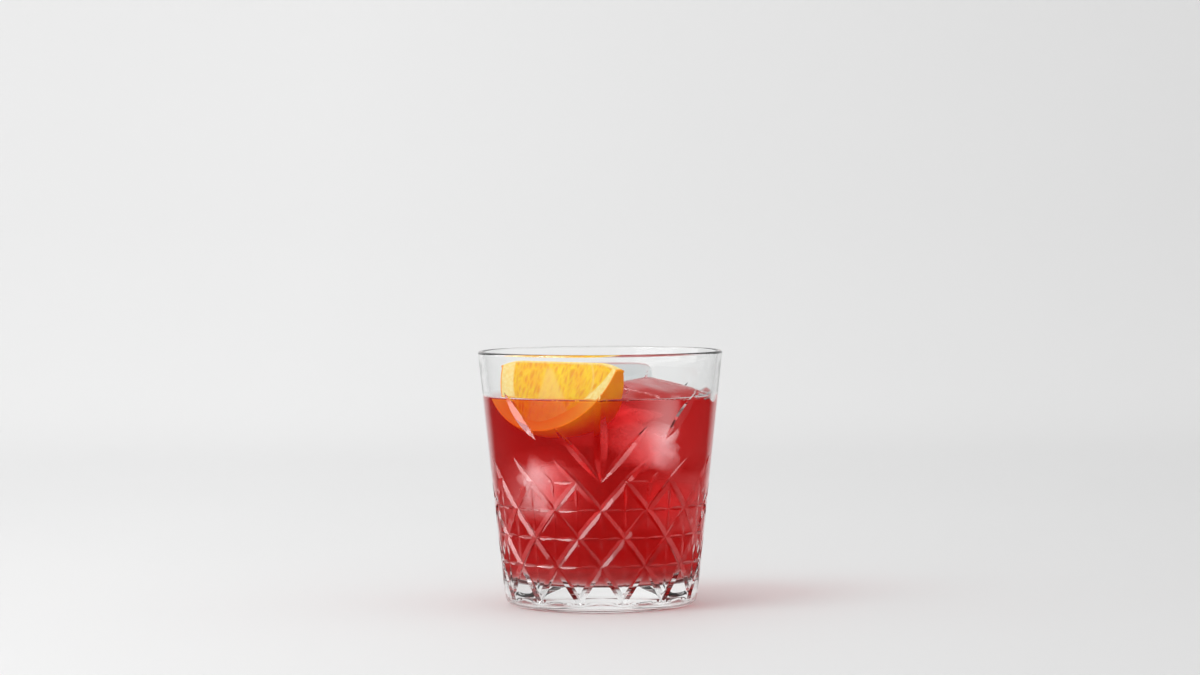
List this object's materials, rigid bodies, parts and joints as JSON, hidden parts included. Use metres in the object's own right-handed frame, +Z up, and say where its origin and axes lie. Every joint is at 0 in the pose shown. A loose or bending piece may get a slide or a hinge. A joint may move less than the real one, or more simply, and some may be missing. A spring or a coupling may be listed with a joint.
{
  "type": "negroni cocktail in a cut rocks glass",
  "caption": "Red negroni cocktail over ice in a tapered cut-glass tumbler, with an orange wedge standing in it.",
  "frame": {"origin": "centre of the glass's flat foot, on its axis, where it stands on the table", "axes": "+Z up along the glass's axis, -Y is the front with the tall upright leaf cut, +X to the right of it"},
  "size_m": [0.088, 0.088, 0.0915],
  "materials": {
    "clear_glass": "clear cut glass, polished",
    "red_drink": "clear deep red liquid",
    "orange": "moist orange flesh and waxy peel",
    "ice": "wet clear ice"
  },
  "bodies": {
    "root": {"glass": "clear_glass", "drink": "red_drink", "orange_wedge": "orange", "ice_front": "ice", "ice_back": "ice"}
  },
  "joints": []
}
